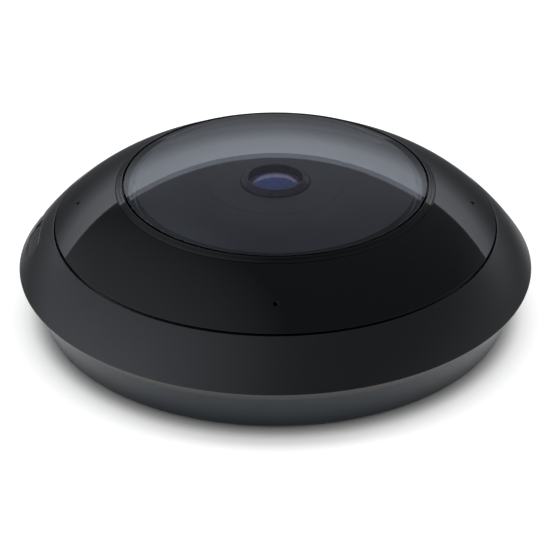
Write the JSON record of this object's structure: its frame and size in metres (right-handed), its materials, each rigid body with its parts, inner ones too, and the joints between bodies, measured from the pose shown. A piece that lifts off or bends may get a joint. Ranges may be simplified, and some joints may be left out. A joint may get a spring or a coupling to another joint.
{
  "type": "fisheye ip camera",
  "caption": "Round low ceiling camera with a fisheye lens under a clear domed window, a glossy trim ring, a satin band and a twist-lock ceiling plate.",
  "frame": {"origin": "centre of the ceiling plate's back face, which is the middle of the camera's lowest plane when it lies on its back", "axes": "+Z along the lens axis away from the ceiling, -Y towards the front microphone hole, -X towards the button"},
  "size_m": [0.1266, 0.1266, 0.043],
  "materials": {
    "base": "satin black paint",
    "seal": "soft black rubber",
    "screw_steel": "plain steel",
    "socket_shell": "nickel-plated steel",
    "contact_gold": "gold-plated",
    "circuit_board": "green solder mask",
    "chip": "moulded black resin",
    "pad": "soft grey pad",
    "spreader": "milled",
    "capacitor": "sleeved can",
    "connector": "ivory resin",
    "chassis_metal": "die cast",
    "lens_housing": "matt black",
    "sensor": "covered silicon",
    "flex": "amber film",
    "coil": "enamelled copper",
    "lens_glass": "coated glass",
    "lens_ring": "black anodised",
    "lock_ring": "black anodised",
    "lamp": "moulded lamp",
    "face": "dark plate that passes infrared",
    "surround": "fine matt",
    "window": "clear, slightly grey",
    "trim": "high gloss black",
    "band": "satin dark grey",
    "mic_can": "pressed can",
    "switch_case": "moulded",
    "light_pipe": "clear rod",
    "plate_steel": "zinc-plated sheet",
    "carriage": "moulded black",
    "filter_glass": "blue-green coated glass",
    "clear_glass": "clear glass",
    "magnet": "nickel-plated magnet",
    "button": "satin dark grey",
    "plunger": "moulded"
  },
  "bodies": {
    "ceiling_mount": {"mount_plate": "plate_steel"},
    "camera": {"rear_housing": "base", "housing_seal": "seal", "jack_gasket": "seal", "window_gasket": "seal", "mic_boots": "seal", "case_screws": "screw_steel", "spreader_screws": "screw_steel", "lens_mount_screws": "screw_steel", "sensor_screws": "screw_steel", "lamp_board_screws": "screw_steel", "ethernet_jack": "socket_shell", "jack_contacts": "contact_gold", "main_board": "circuit_board", "sensor_board": "circuit_board", "lamp_board": "circuit_board", "side_board": "circuit_board", "processor": "chip", "memory_chips": "chip", "power_transformer": "chip", "thermal_pad": "pad", "heat_spreader": "spreader", "capacitors": "capacitor", "board_connectors": "connector", "chassis": "chassis_metal", "lens_mount": "lens_housing", "lens_barrel": "lens_housing", "image_sensor": "sensor", "sensor_flex": "flex", "lamp_flex": "flex", "mic_flex": "flex", "filter_coil": "coil", "front_lens": "lens_glass", "middle_lens": "lens_glass", "rear_lens": "lens_glass", "lens_retaining_ring": "lens_ring", "lens_lock_ring": "lock_ring", "infrared_lamps": "lamp", "status_led": "lamp", "face_plate": "face", "lens_surround": "surround", "window_dome": "window", "trim_ring": "trim", "outer_band": "band", "microphones": "mic_can", "reset_switch": "switch_case", "status_light_pipe": "light_pipe"},
    "filter_slide": {"filter_carriage": "carriage", "ir_cut_filter": "filter_glass", "clear_filter": "clear_glass", "filter_magnet": "magnet"},
    "button": {"reset_button": "button", "switch_plunger": "plunger"}
  },
  "joints": [
    {"name": "twist_lock", "type": "hinge", "parent": "ceiling_mount", "child": "camera", "pos_m": [0, 0, 0], "axis": [0, 0, 1], "range_deg": [0, 22]},
    {"name": "filter_switch", "type": "slide", "parent": "camera", "child": "filter_slide", "axis": [1, 0, 0], "range_m": [0, 0.007]},
    {"name": "reset_press", "type": "slide", "parent": "camera", "child": "button", "axis": [0.777, 0, -0.6295], "range_m": [0, 0.0005], "stiffness_N_per_m": 1500, "springref_m": -0.0005}
  ]
}
